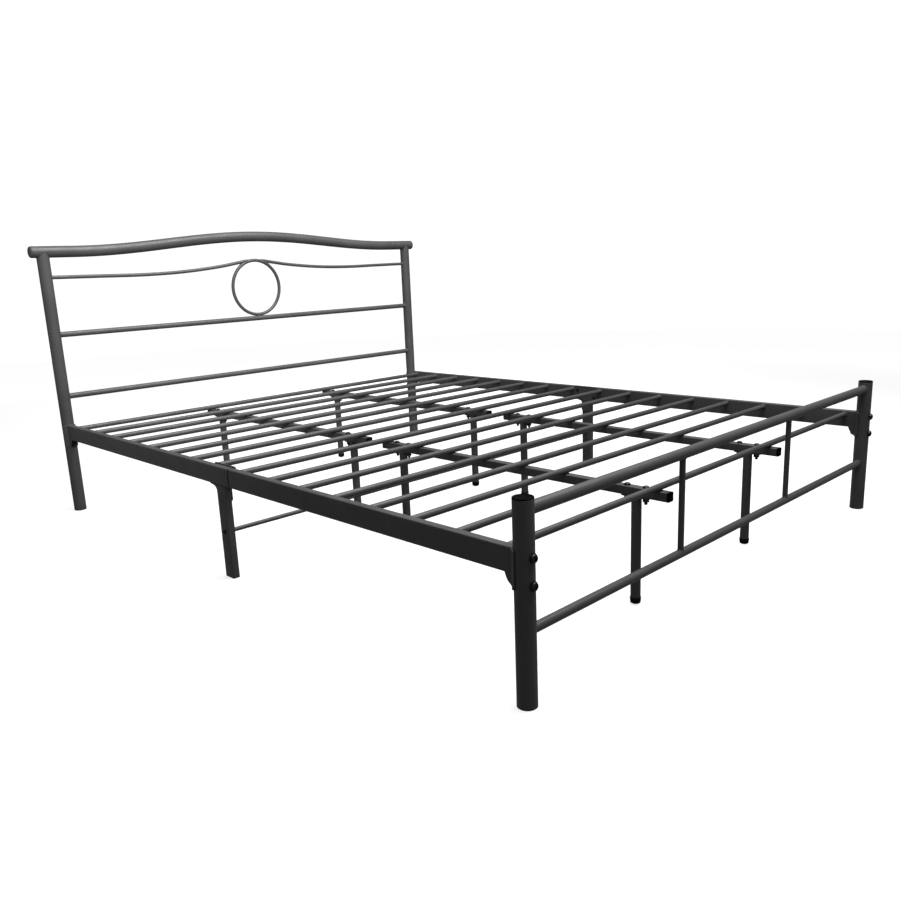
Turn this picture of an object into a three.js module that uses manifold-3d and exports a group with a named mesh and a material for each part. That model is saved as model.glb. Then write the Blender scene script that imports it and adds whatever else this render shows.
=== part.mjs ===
// Knock-down metal bed frame for a 1600 x 2000 mm mattress, millimetres, +Z up.
// Origin: on the floor, at the middle of the bed. +Y points to the headboard, +X to the right
// hand of somebody who stands at the foot end and looks at the headboard.
import * as THREE from 'three';
import { mergeVertices } from 'three/addons/utils/BufferGeometryUtils.js';
import Module from 'manifold-3d';

const wasm = await Module();
wasm.setup();

// ---- driving dimensions ----
const GAP = 0.3; // play between touching pieces
const WIDTH = 1600; // post axis to post axis, across the bed
const LENGTH = 2070; // post axis to post axis, along the bed
const WALL = 1.5; // wall of the large tubes
const THIN_WALL = 1.2; // wall of the small tubes

const POST_D = 40;
const BOLT_D = 8;
const BOLT_HOLE_D = 9;
const BOLT_Z = [240, 292]; // two through bolts at each post
const BOLT_HEAD_R = 9;
const BOLT_HEAD_H = 7; // with its washer
const BOLT_TIP = 34; // how far a bolt reaches past the post's axis
const NUT_PLATE = { width: 14, thick: 4, reach: 9 }; // reach: past the bolts, up and down

// headboard
const TOP_RAIL_D = 38;
const TOP_RAIL_HALF = 842; // the top rail overhangs the posts
const TOP_RAIL_Z = 886; // its axis at the posts
const HUMP_RISE = 44; // how much higher its middle is
const HUMP_HALF = 700; // where the hump starts, from the middle
const HEAD_BAR_D = 19;
const HEAD_LOWER_Z = 403;
const HEAD_MIDDLE_Z = 613;
const THIN_BAR_D = 12.5; // solid rod of the ring and of the curved bars
const RING_R = 105.5;
const CURVED_BAR_IN = 45; // where the curved bars meet the ring's shoulders

// footboard
const FOOT_POST_Z = 398;
const FOOT_TOP_D = 25;
const FOOT_TOP_Z = 376;
const FOOT_LOWER_D = 20;
const FOOT_LOWER_Z = 147;
const SPINDLE_D = 14;
const SPINDLE_X = WIDTH / 6; // the spindles stand at the thirds
const PLUG_FLANGE = 3;

// side rails: rectangular tube, two halves a side, an end cup round each post
const RAIL_W = 20;
const RAIL_H = 50;
const RAIL_TOP = 306;
const RAIL_BOTTOM = RAIL_TOP - RAIL_H;
const CUP_PLATE = 3;
const CUP_BOTTOM = 230;
const EAR_REACH = 39; // how far the gusset ears reach along the rail, from the post axis
const SEAM_GAP = 3;
const SEAM_Y = { left: -45, right: 12 };

// legs at mid-length
const MID_LEG = 40; // along the bed
const SPLICE_PLATE = 3;
const SPLICE_HALF = 52;
const SPLICE_TOP = RAIL_TOP + 3;
const SPLICE_BOTTOM = 211;
const FILLET_Y = 32;
const FILLET_Z = 11;
const CROSSBAR_D = 12;
const CROSSBAR_Z = 128;

// slats and their supports
const SLATS = 16;
const SLAT_PITCH = 131;
const SLAT_D = 16;
const SLAT_Z = 294;
const SUPPORT_X = 273;
const SUPPORT_SIDE = 22;
const SUPPORT_IN = 36; // ends of the support rails, from mid-length
const SUPPORT_OUT = 1012;
const SUPPORT_TOP = SLAT_Z - SLAT_D / 2 - GAP;
const SUPPORT_BOTTOM = SUPPORT_TOP - SUPPORT_SIDE;
const LEG_D = 24;
const LEG_Y = [118, 923];
const LEG_PLATE = { width: 20, length: 76, thick: 2.5 };
const FOOT_FLOOR = 3; // rubber under the tube end
const FOOT_H = 17;
const FOOT_R = 13.6;

const SIDES = { left: -1, right: 1 };
const ENDS = { foot: -1, head: 1 };

// ---- materials ----
function coat(hex) {
  return new THREE.MeshStandardMaterial({ color: hex, roughness: 0.5, metalness: 0.35 });
}
const blackPlastic = () => new THREE.MeshStandardMaterial({ color: 0x0b0b0c, roughness: 0.6, metalness: 0 });
const blackRubber = () => new THREE.MeshStandardMaterial({ color: 0x0d0d0d, roughness: 0.85, metalness: 0 });

const blackZinc = () => new THREE.MeshStandardMaterial({ color: 0x1a1a1b, roughness: 0.35, metalness: 0.8 });

// ---- solids ----
function toSolid(geometry) {
  const bare = geometry.clone();
  bare.deleteAttribute('normal');
  bare.deleteAttribute('uv');
  const merged = mergeVertices(bare, 1e-4);
  const mesh = new wasm.Mesh({
    numProp: 3,
    vertProperties: new Float32Array(merged.attributes.position.array),
    triVerts: new Uint32Array(merged.index.array),
  });
  mesh.merge();
  return new wasm.Manifold(mesh);
}

function toGeometry(solid) {
  const mesh = solid.getMesh();
  const geometry = new THREE.BufferGeometry();
  geometry.setAttribute('position', new THREE.BufferAttribute(mesh.vertProperties, 3));
  geometry.setIndex(new THREE.BufferAttribute(mesh.triVerts, 1));
  return geometry;
}

function join(...geometries) {
  return toGeometry(geometries.map(toSolid).reduce((a, b) => a.add(b)));
}

function cut(geometry, ...tools) {
  return toGeometry(tools.map(toSolid).reduce((a, b) => a.subtract(b), toSolid(geometry)));
}

function circle(radius, target = new THREE.Shape()) {
  target.absarc(0, 0, radius, 0, 2 * Math.PI, false);
  return target;
}

// a round tube (or a rod, with no wall) from z = 0 up to its length
function tube(diameter, wall, length, segments) {
  const shape = circle(diameter / 2);
  if (wall) shape.holes.push(circle(diameter / 2 - wall, new THREE.Path()));
  return new THREE.ExtrudeGeometry(shape, {
    depth: length,
    bevelEnabled: false,
    curveSegments: segments,
  });
}

// turn geometry that stands along +Z to lie along +X or +Y, centred on the origin
function alongX(geometry, length) {
  return geometry.translate(0, 0, -length / 2).rotateY(Math.PI / 2);
}
function alongY(geometry, length) {
  return geometry.translate(0, 0, -length / 2).rotateX(Math.PI / 2);
}

function roundedRect(halfX, halfY, radius, target = new THREE.Shape()) {
  target.moveTo(halfX, -halfY + radius);
  target.absarc(halfX - radius, halfY - radius, radius, 0, Math.PI / 2, false);
  target.absarc(-halfX + radius, halfY - radius, radius, Math.PI / 2, Math.PI, false);
  target.absarc(-halfX + radius, -halfY + radius, radius, Math.PI, 1.5 * Math.PI, false);
  target.absarc(halfX - radius, -halfY + radius, radius, 1.5 * Math.PI, 2 * Math.PI, false);
  return target;
}

// a rectangular tube with rounded corners from z = 0 up to its length
function boxTube(sizeX, sizeY, wall, length) {
  const corner = 2.5;
  const shape = roundedRect(sizeX / 2, sizeY / 2, corner);
  shape.holes.push(roundedRect(sizeX / 2 - wall, sizeY / 2 - wall, corner - wall, new THREE.Path()));
  return new THREE.ExtrudeGeometry(shape, { depth: length, bevelEnabled: false, curveSegments: 2 });
}

// a round bar or tube bent along a curve
function bentTube(curve, diameter, wall, steps, segments) {
  const shape = circle(diameter / 2);
  if (wall) shape.holes.push(circle(diameter / 2 - wall, new THREE.Path()));
  return new THREE.ExtrudeGeometry(shape, {
    steps,
    bevelEnabled: false,
    curveSegments: segments,
    extrudePath: curve,
  });
}

// a cylinder that stands for a post, a little fatter, to shape the ends that meet the post
function postTool(x, y) {
  const r = POST_D / 2 + GAP;
  return new THREE.CylinderGeometry(r, r, 2000, 24).rotateX(Math.PI / 2).translate(x, y, 0);
}

// ---- the bed ----
const bed = new THREE.Group();

function add(name, geometry, material, x = 0, y = 0, z = 0, parent = bed) {
  const mesh = new THREE.Mesh(geometry, material);
  mesh.name = name;
  mesh.position.set(x, y, z);
  parent.add(mesh);
  return mesh;
}

const DARK = 0x2b2b2c;
const LIT = 0x3c3c3d;
const postX = (side) => (SIDES[side] * WIDTH) / 2;
const postY = (end) => (ENDS[end] * LENGTH) / 2;

const boltHole = (z) => alongY(tube(BOLT_HOLE_D, 0, 80, 4), 80).translate(0, 0, z);

// the hump of the top rail: flat at the posts, one smooth wave in the middle
class HumpCurve extends THREE.Curve {
  getPoint(t, target = new THREE.Vector3()) {
    const x = (2 * t - 1) * TOP_RAIL_HALF;
    const wave = Math.abs(x) < HUMP_HALF ? (1 + Math.cos((Math.PI * x) / HUMP_HALF)) / 2 : 0;
    return target.set(x, 0, TOP_RAIL_Z + HUMP_RISE * wave);
  }
}

function buildHeadboard() {
  const board = new THREE.Group();
  board.position.y = postY('head');
  bed.add(board);
  const rail = bentTube(new HumpCurve(), TOP_RAIL_D, WALL, 22, 8);
  add('head_top_rail', rail, coat(LIT), 0, 0, 0, board);

  const saddle = alongX(tube(TOP_RAIL_D + 2 * GAP, 0, 200, 12), 200).translate(0, 0, TOP_RAIL_Z);
  for (const side in SIDES) {
    const post = tube(POST_D, WALL, TOP_RAIL_Z, 12);
    const shaped = cut(post, saddle, ...BOLT_Z.map(boltHole));
    add(`head_post_${side}`, shaped, coat(LIT), postX(side), 0, 0, board);
  }

  const reach = WIDTH - POST_D / 2;
  const bar = alongX(tube(HEAD_BAR_D, THIN_WALL, reach, 8), reach);
  const ends = Object.keys(SIDES).map((side) => postTool(postX(side), 0));
  add('head_lower_bar', cut(bar, ...ends), coat(LIT), 0, 0, HEAD_LOWER_Z, board);

  // one weldment: the middle bar, the ring that stands on it, the two curved bars off the ring
  const ringZ = HEAD_MIDDLE_Z + (HEAD_BAR_D + THIN_BAR_D) / 2 + RING_R - 1;
  const ring = new THREE.TorusGeometry(RING_R, THIN_BAR_D / 2, 6, 40).rotateX(Math.PI / 2);
  ring.translate(0, 0, ringZ);
  const panel = [ring, alongX(tube(HEAD_BAR_D, THIN_WALL, reach, 8), reach).translate(0, 0, HEAD_MIDDLE_Z)];
  for (const side in SIDES) {
    // level at the post, a slight dip, then a rise on to the shoulder of the ring
    const outline = [
      [WIDTH / 2 - POST_D / 4, 803],
      [620, 801.5],
      [480, 800],
      [360, 802.5],
      [260, 808.5],
      [155, 819],
      [90, 828.5],
      [CURVED_BAR_IN, 836],
    ];
    const points = outline.map(([x, z]) => new THREE.Vector3(SIDES[side] * x, 0, z));
    const curve = new THREE.CatmullRomCurve3(points);
    panel.push(bentTube(curve, THIN_BAR_D, 0, 14, 4));
  }
  add('head_ring_panel', cut(join(...panel), ...ends), coat(LIT), 0, 0, 0, board);
}

function buildFootboard() {
  const board = new THREE.Group();
  board.position.y = postY('foot');
  bed.add(board);
  for (const side in SIDES) {
    const post = cut(tube(POST_D, WALL, FOOT_POST_Z, 12), ...BOLT_Z.map(boltHole));
    add(`foot_post_${side}`, post, coat(DARK), postX(side), 0, 0, board);
    const inside = POST_D / 2 - WALL - 0.4;
    const outline = [
      [0, -14], [inside - 1, -14], [inside, -12], [inside, GAP], [POST_D / 2, GAP],
      [POST_D / 2, PLUG_FLANGE - 1], [POST_D / 2 - 1.5, PLUG_FLANGE], [0, PLUG_FLANGE],
    ];
    const plug = new THREE.LatheGeometry(outline.map(([r, z]) => new THREE.Vector2(r, z)), 18);
    plug.rotateX(Math.PI / 2);
    add(`foot_post_plug_${side}`, plug, blackPlastic(), postX(side), 0, FOOT_POST_Z, board);
  }
  const rails = { top: [FOOT_TOP_D, FOOT_TOP_Z], lower: [FOOT_LOWER_D, FOOT_LOWER_Z] };
  const reach = WIDTH - POST_D / 2;
  for (const [level, [diameter, z]] of Object.entries(rails)) {
    const rail = alongX(tube(diameter, THIN_WALL, reach, 8), reach);
    const ends = Object.keys(SIDES).map((side) => postTool(postX(side), 0));
    add(`foot_${level}_rail`, cut(rail, ...ends), coat(DARK), 0, 0, z, board);
  }
  const saddles = Object.values(rails).map(([diameter, z]) =>
    alongX(tube(diameter + 2 * GAP, 0, 60, 10), 60).translate(0, 0, z));
  for (const side in SIDES) {
    const spindle = tube(SPINDLE_D, THIN_WALL, FOOT_TOP_Z - FOOT_LOWER_Z, 6).translate(0, 0, FOOT_LOWER_Z);
    add(`foot_spindle_${side}`, cut(spindle, ...saddles), coat(DARK), SIDES[side] * SPINDLE_X, 0, 0, board);
  }
}

// The end fitting of a side rail at a post, for a post at the origin and a rail that leaves
// along +Y: a half-round cup plate against the post, and two gusset ears under the rail.
function railEnd() {
  const inner = POST_D / 2 + GAP;
  const outer = inner + CUP_PLATE;
  const wrap = 1.3; // radians each side of the rail's line
  const cupShape = new THREE.Shape();
  cupShape.absarc(0, 0, outer, Math.PI / 2 - wrap, Math.PI / 2 + wrap, false);
  cupShape.absarc(0, 0, inner, Math.PI / 2 + wrap, Math.PI / 2 - wrap, true);
  const cup = new THREE.ExtrudeGeometry(cupShape, {
    depth: RAIL_TOP - CUP_BOTTOM,
    bevelEnabled: false,
    curveSegments: 9,
  }).translate(0, 0, CUP_BOTTOM);
  const start = inner + CUP_PLATE / 2;
  const ears = [-1, 1].map((face) => {
    const ear = new THREE.Shape();
    ear.moveTo(start - 3, RAIL_BOTTOM + 4);
    ear.lineTo(EAR_REACH + 2, RAIL_BOTTOM + 4);
    ear.lineTo(EAR_REACH, RAIL_BOTTOM);
    ear.quadraticCurveTo(EAR_REACH - 4, RAIL_BOTTOM - 20, start + 1, CUP_BOTTOM + 6);
    ear.lineTo(start - 3, CUP_BOTTOM + 6);
    const plate = new THREE.ExtrudeGeometry(ear, {
      depth: WALL,
      bevelEnabled: false,
      curveSegments: 4,
    });
    // the outline's x runs along the rail (+Y) and its y runs up (+Z)
    plate.rotateX(Math.PI / 2).rotateZ(Math.PI / 2);
    const x = face * (RAIL_W / 2) - (face > 0 ? WALL : 0);
    return plate.translate(x, 0, 0);
  });
  return { cup, ears };
}

function buildSideRails() {
  const start = POST_D / 2 + GAP + CUP_PLATE / 2;
  for (const side in SIDES) {
    for (const end in ENDS) {
      const toSeam = LENGTH / 2 - ENDS[end] * SEAM_Y[side] - SEAM_GAP / 2;
      const beam = boxTube(RAIL_W, RAIL_H, WALL, toSeam - start);
      beam.rotateX(-Math.PI / 2).translate(0, start, (RAIL_TOP + RAIL_BOTTOM) / 2);
      const { cup, ears } = railEnd();
      // the tube's end follows the round of the cup
      const postSpace = new THREE.CylinderGeometry(
        POST_D / 2 + GAP, POST_D / 2 + GAP, 400, 24).rotateX(Math.PI / 2).translate(0, 0, 200);
      const holes = BOLT_Z.map(boltHole);
      const slot = new THREE.BoxGeometry(NUT_PLATE.width + 1, 10, 4).translate(0, 28, RAIL_BOTTOM + 1);
      const half = cut(join(beam, cup, ...ears), postSpace, slot, ...holes);
      if (end === 'head') half.rotateZ(Math.PI);
      add(`side_rail_${side}_${end}`, half, coat(DARK), postX(side), postY(end), 0);
    }
  }
}

// Two bolts go through each post and its cup, into one threaded plate behind the cup.
function buildPostBolts() {
  const face = POST_D / 2 + GAP + CUP_PLATE + GAP;
  const [low, high] = BOLT_Z;
  for (const side in SIDES) {
    for (const end in ENDS) {
      const height = high - low + 2 * NUT_PLATE.reach;
      const plate = new THREE.BoxGeometry(NUT_PLATE.width, NUT_PLATE.thick, height);
      plate.translate(0, face + NUT_PLATE.thick / 2, (high + low) / 2);
      const bolts = BOLT_Z.map((z) => {
        const base = -POST_D / 2 - GAP;
        const r = BOLT_HEAD_R;
        const outline = [
          [0, base - BOLT_HEAD_H], [r - 3, base - BOLT_HEAD_H], [r, base - BOLT_HEAD_H + 3],
          [r, base], [BOLT_D / 2, base], [BOLT_D / 2, BOLT_TIP], [0, BOLT_TIP],
        ];
        const points = outline.map(([radius, y]) => new THREE.Vector2(radius, y));
        return new THREE.LatheGeometry(points, 8).translate(0, 0, z);
      });
      const set = join(plate, ...bolts);
      if (end === 'head') set.rotateZ(Math.PI);
      add(`post_bolts_${end}_${side}`, set, blackZinc(), postX(side), postY(end), 0);
    }
  }
}

// A leg under the seam of the side rail. Its splice plate stands up behind both rail halves.
function buildMidLegs() {
  for (const side in SIDES) {
    const top = RAIL_BOTTOM - GAP;
    const post = boxTube(RAIL_W, MID_LEG, WALL, top);
    const plateX = -SIDES[side] * (RAIL_W / 2 + SPLICE_PLATE / 2 + GAP);
    const plate = new THREE.BoxGeometry(SPLICE_PLATE, 2 * SPLICE_HALF, SPLICE_TOP - RAIL_BOTTOM);
    plate.translate(plateX, 0, (SPLICE_TOP + RAIL_BOTTOM) / 2);
    const stem = new THREE.BoxGeometry(SPLICE_PLATE, MID_LEG, RAIL_BOTTOM - SPLICE_BOTTOM + 2);
    stem.translate(plateX, 0, (RAIL_BOTTOM + SPLICE_BOTTOM) / 2 + 1);
    const weld = new THREE.BoxGeometry(2, MID_LEG - 8, top - SPLICE_BOTTOM);
    weld.translate(-SIDES[side] * (RAIL_W / 2), 0, (top + SPLICE_BOTTOM) / 2);
    const fillet = new THREE.Shape();
    fillet.moveTo(MID_LEG / 2 - 4, top);
    fillet.lineTo(MID_LEG / 2 + FILLET_Y, top);
    fillet.quadraticCurveTo(MID_LEG / 2 + 5, top - 2, MID_LEG / 2, top - FILLET_Z);
    fillet.lineTo(MID_LEG / 2 - 4, top - FILLET_Z);
    const web = new THREE.ExtrudeGeometry(fillet, { depth: RAIL_W, bevelEnabled: false, curveSegments: 5 });
    web.rotateX(Math.PI / 2).rotateZ(Math.PI / 2).translate(-RAIL_W / 2, 0, 0);
    const leg = join(post, plate, stem, weld, web);
    add(`mid_leg_${side}`, leg, coat(DARK), postX(side), 0, 0);
  }
  const span = WIDTH - RAIL_W - 2 * GAP;
  const bar = alongX(tube(CROSSBAR_D, THIN_WALL, span, 6), span);
  add('mid_leg_crossbar', bar, coat(DARK), 0, 0, CROSSBAR_Z);
}

function buildSlats() {
  const span = WIDTH - RAIL_W - 2 * GAP;
  for (let i = 0; i < SLATS; i += 1) {
    const y = (i - (SLATS - 1) / 2) * SLAT_PITCH;
    const slat = alongX(tube(SLAT_D, THIN_WALL, span, 6), span);
    add(`slat_${String(i + 1).padStart(2, '0')}`, slat, coat(LIT), 0, y, SLAT_Z);
  }
}

function supportFoot() {
  const bore = LEG_D / 2 + 0.65;
  const outline = [
    [0, 0], [6, 0], [10.2, 2.4], [12.8, 6.6], [FOOT_R, 11.5], [FOOT_R, FOOT_H],
    [bore, FOOT_H], [bore, FOOT_FLOOR], [0, FOOT_FLOOR],
  ];
  const cap = new THREE.LatheGeometry(outline.map(([r, z]) => new THREE.Vector2(r, z)), 12);
  return cap.rotateX(Math.PI / 2);
}

function buildSupports() {
  for (const side in SIDES) {
    for (const end in ENDS) {
      const length = SUPPORT_OUT - SUPPORT_IN;
      const beam = alongY(boxTube(SUPPORT_SIDE, SUPPORT_SIDE, WALL, length), length);
      const middle = (ENDS[end] * (SUPPORT_OUT + SUPPORT_IN)) / 2;
      const z = (SUPPORT_TOP + SUPPORT_BOTTOM) / 2;
      add(`support_rail_${side}_${end}`, beam, coat(DARK), SIDES[side] * SUPPORT_X, middle, z);
      LEG_Y.forEach((y, i) => {
        const place = i ? 'outer' : 'inner';
        const x = SIDES[side] * SUPPORT_X;
        const plateZ = SUPPORT_BOTTOM - GAP - LEG_PLATE.thick;
        const plate = new THREE.BoxGeometry(LEG_PLATE.width, LEG_PLATE.length, LEG_PLATE.thick);
        plate.translate(0, 0, plateZ + LEG_PLATE.thick / 2);
        const bottom = FOOT_FLOOR + GAP;
        const post = tube(LEG_D, WALL, plateZ + 1 - bottom, 6).translate(0, 0, bottom);
        const name = `${side}_${end}_${place}`;
        add(`support_leg_${name}`, join(post, plate), coat(DARK), x, ENDS[end] * y, 0);
        add(`support_foot_${name}`, supportFoot(), blackRubber(), x, ENDS[end] * y, 0);
      });
    }
  }
}

buildHeadboard();
buildFootboard();
buildSideRails();
buildPostBolts();
buildMidLegs();
buildSlats();
buildSupports();

export default bed;
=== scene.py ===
import math
import random

import bmesh
import bpy
from mathutils import Matrix, Vector


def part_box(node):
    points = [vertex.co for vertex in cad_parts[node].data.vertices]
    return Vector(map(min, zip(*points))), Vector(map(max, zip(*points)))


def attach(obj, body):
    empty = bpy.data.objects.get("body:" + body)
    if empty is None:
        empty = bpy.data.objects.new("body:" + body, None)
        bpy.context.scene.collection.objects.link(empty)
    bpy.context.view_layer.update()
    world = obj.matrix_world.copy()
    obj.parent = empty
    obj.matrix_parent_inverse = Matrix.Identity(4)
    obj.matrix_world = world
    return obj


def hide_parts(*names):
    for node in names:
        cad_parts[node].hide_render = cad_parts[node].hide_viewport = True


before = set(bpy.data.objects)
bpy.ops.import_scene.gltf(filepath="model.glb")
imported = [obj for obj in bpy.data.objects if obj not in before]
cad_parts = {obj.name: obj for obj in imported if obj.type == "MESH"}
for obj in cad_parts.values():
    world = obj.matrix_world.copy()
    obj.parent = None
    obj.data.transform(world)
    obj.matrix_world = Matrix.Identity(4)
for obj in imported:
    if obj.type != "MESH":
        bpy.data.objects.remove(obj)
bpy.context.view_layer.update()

# Every length is in metres, in the frame's axes: +Y towards the headboard, +Z up.
MM = 0.001
SIDES = {"left": -1, "right": 1}
ENDS = {"foot": -1, "head": 1}

# ---------------------------------------------------------------- camera
CAMERA_AT = Vector((-1.8571, -1.9481, 0.7984))
CAMERA_HEADING = -44.68  # degrees, turned from +Y towards +X
CAMERA_PITCH = -13.515
CAMERA_ROLL = -2.31
CAMERA_LENS = 33.465  # mm, on a sensor 36 mm wide
CAMERA_SHIFT = (-0.009, 0.0153)

camera_data = bpy.data.cameras.new("camera")
camera_data.sensor_fit = "HORIZONTAL"
camera_data.sensor_width = 36
camera_data.lens = CAMERA_LENS
camera_data.shift_x, camera_data.shift_y = CAMERA_SHIFT
camera_data.clip_end = 60
camera = bpy.data.objects.new("camera", camera_data)
bpy.context.scene.collection.objects.link(camera)
bpy.context.scene.camera = camera
camera.matrix_world = (
    Matrix.Translation(CAMERA_AT)
    @ Matrix.Rotation(math.radians(CAMERA_HEADING), 4, "Z")
    @ Matrix.Rotation(math.radians(90 + CAMERA_PITCH), 4, "X")
    @ Matrix.Rotation(math.radians(CAMERA_ROLL), 4, "Z")
)


# ---------------------------------------------------------------- materials
class Shader:
    """A material with one Principled shader, and short names for its nodes."""

    def __init__(self, name, **sockets):
        self.material = bpy.data.materials.new(name)
        self.material.use_nodes = True
        self.tree = self.material.node_tree
        self.shader = self.tree.nodes["Principled BSDF"]
        for key, value in sockets.items():
            self.shader.inputs[key.replace("_", " ")].default_value = value
        self.place = self.node("ShaderNodeTexCoord").outputs["Object"]

    def node(self, kind, **settings):
        made = self.tree.nodes.new(kind)
        for key, value in settings.items():
            setattr(made, key, value)
        return made

    def link(self, start, end):
        self.tree.links.new(start, end)

    def noise(self, scale, detail=3, roughness=0.55):
        made = self.node("ShaderNodeTexNoise")
        made.inputs["Scale"].default_value = scale
        made.inputs["Detail"].default_value = detail
        made.inputs["Roughness"].default_value = roughness
        self.link(self.place, made.inputs["Vector"])
        return made.outputs["Fac"]

    def spread(self, value, low, high, new_low, new_high):
        made = self.node("ShaderNodeMapRange")
        for key, number in zip(
            ("From Min", "From Max", "To Min", "To Max"), (low, high, new_low, new_high)
        ):
            made.inputs[key].default_value = number
        self.link(value, made.inputs["Value"])
        return made.outputs["Result"]

    def blend(self, factor, first, second):
        made = self.node("ShaderNodeMix", data_type="RGBA")
        self.link(factor, made.inputs[0])
        for socket, colour in ((made.inputs[6], first), (made.inputs[7], second)):
            if isinstance(colour, tuple):
                socket.default_value = (*colour, 1)
            else:
                self.link(colour, socket)
        return made.outputs[2]

    def maths(self, operation, first, second):
        made = self.node("ShaderNodeMath", operation=operation)
        for socket, value in zip(made.inputs, (first, second)):
            if isinstance(value, (int, float)):
                socket.default_value = value
            else:
                self.link(value, socket)
        return made.outputs[0]

    def bump(self, height, strength, distance, below=None):
        made = self.node("ShaderNodeBump")
        made.inputs["Strength"].default_value = strength
        made.inputs["Distance"].default_value = distance
        self.link(height, made.inputs["Height"])
        if below:
            self.link(below, made.inputs["Normal"])
        return made.outputs["Normal"]

    def set(self, socket, value):
        self.link(value, self.shader.inputs[socket])


def powder_coat():
    """Dark graphite powder on steel: a fine orange peel, and faint clouds in its tone."""
    coat = Shader("powder_coat", Metallic=0.0, IOR=1.48, Specular_IOR_Level=0.42)
    cloud = coat.noise(9, detail=4)
    fleck = coat.noise(1400, detail=1)
    tone = coat.spread(cloud, 0.3, 0.7, 0.0, 1.0)
    base = coat.blend(tone, (0.0300, 0.0300, 0.0312), (0.0400, 0.0402, 0.0412))
    grain = coat.spread(fleck, 0.62, 0.78, 0.0, 0.35)
    coat.set("Base Color", coat.blend(grain, base, (0.085, 0.085, 0.088)))
    dull = coat.spread(coat.noise(24, detail=5), 0.3, 0.7, 0.42, 0.54)
    coat.set("Roughness", coat.maths("ADD", dull, coat.spread(fleck, 0.3, 0.7, -0.03, 0.03)))
    peel = coat.bump(coat.noise(330, detail=2), 0.16, 0.0006)
    coat.set("Normal", coat.bump(fleck, 0.10, 0.0002, below=peel))
    return coat.material


def moulded(name, dark, light, roughness, grain_scale, grain_strength):
    """Injection-moulded plastic or rubber: a matte grain, a few paler rubbed patches."""
    made = Shader(name, Metallic=0.0, IOR=1.2, Specular_IOR_Level=0.1)
    cloud = made.spread(made.noise(38, detail=4), 0.35, 0.7, 0.0, 1.0)
    made.set("Base Color", made.blend(cloud, dark, light))
    dull = made.spread(made.noise(90, detail=3), 0.3, 0.7, roughness - 0.07, roughness + 0.07)
    made.set("Roughness", dull)
    made.set("Normal", made.bump(made.noise(grain_scale, detail=2), grain_strength, 0.0003))
    return made.material


def bolt_steel():
    """Black zinc plating with rubbed, brighter steel on its high spots."""
    steel = Shader("black_zinc", Metallic=0.9, IOR=1.5)
    rub = steel.spread(steel.noise(260, detail=5, roughness=0.65), 0.48, 0.72, 0.0, 1.0)
    steel.set("Base Color", steel.blend(rub, (0.014, 0.014, 0.016), (0.085, 0.085, 0.088)))
    steel.set("Roughness", steel.spread(steel.noise(180, detail=4), 0.3, 0.7, 0.2, 0.34))
    steel.set("Normal", steel.bump(steel.noise(900, detail=3), 0.18, 0.0002))
    return steel.material


def bare_bore():
    """The inside of a cut tube: dull mill steel with a thin veil of powder."""
    bore = Shader("tube_bore", Metallic=0.4, IOR=1.5)
    rust = bore.spread(bore.noise(160, detail=5), 0.45, 0.7, 0.0, 1.0)
    bore.set("Base Color", bore.blend(rust, (0.022, 0.022, 0.023), (0.055, 0.048, 0.042)))
    bore.set("Roughness", bore.spread(bore.noise(60), 0.3, 0.7, 0.55, 0.75))
    return bore.material


COAT = powder_coat()
PLASTIC = moulded("black_plastic", (0.0015, 0.0015, 0.0016), (0.0045, 0.0045, 0.0047),
                  roughness=0.8, grain_scale=1500, grain_strength=0.22)
RUBBER = moulded("black_rubber", (0.004, 0.004, 0.004), (0.010, 0.0098, 0.0095),
                 roughness=0.68, grain_scale=1100, grain_strength=0.35)
ZINC = bolt_steel()
BORE = bare_bore()


# ---------------------------------------------------------------- mesh building
WELD_DISTANCE = 1e-6


class Piece:
    """Points and faces gathered for one object. slot picks one of its materials."""

    def __init__(self, *materials):
        self.materials = materials or (COAT,)
        self.points, self.faces, self.slots = [], [], []

    def row(self, points):
        first = len(self.points)
        self.points.extend(tuple(p) for p in points)
        return range(first, len(self.points))

    def face(self, corners, slot=0):
        self.faces.append(tuple(corners))
        self.slots.append(slot)

    def skin(self, a, b, slot=0):
        """Faces between two closed rows of equal length."""
        count = len(a)
        for i in range(count):
            j = (i + 1) % count
            self.face((a[i], a[j], b[j], b[i]), slot)

    def loft(self, rows, slots=None, loop=False):
        """A skin through several closed rows. It ends in caps, or runs back to its start.
        slots gives the material of each strip."""
        made = [self.row(r) for r in rows]
        pairs = list(zip(made, made[1:]))
        if loop:
            pairs.append((made[-1], made[0]))
        for i, (a, b) in enumerate(pairs):
            self.skin(a, b, slots[i] if slots else 0)
        if not loop:
            for end in (made[0], made[-1]):
                self.face(end)

    def finish(self, name, sharp=38, replaces=()):
        mesh = bpy.data.meshes.new(name)
        mesh.from_pydata(self.points, [], self.faces)
        for material in self.materials:
            mesh.materials.append(material)
        mesh.polygons.foreach_set("material_index", self.slots)
        mesh.validate()
        welded = bmesh.new()
        welded.from_mesh(mesh)
        bmesh.ops.remove_doubles(welded, verts=welded.verts, dist=WELD_DISTANCE)
        bmesh.ops.recalc_face_normals(welded, faces=welded.faces)
        welded.to_mesh(mesh)
        welded.free()
        mesh.shade_smooth()
        mesh.set_sharp_from_angle(angle=math.radians(sharp))
        made = bpy.data.objects.new(name, mesh)
        bpy.context.scene.collection.objects.link(made)
        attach(made, "root")
        if replaces:
            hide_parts(*replaces)
        return made


# A tube's second material is that of its bore.
BORE_SLOT = 1
BEAD_SIDES = 8
# u, v and the length axis of something that runs along X, Y or Z
AXES = {"X": (1, 2, 0), "Y": (0, 2, 1), "Z": (0, 1, 2)}


def circle(radius, count):
    turn = 2 * math.pi / count
    return [(radius * math.cos(turn * i), radius * math.sin(turn * i)) for i in range(count)]


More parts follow.
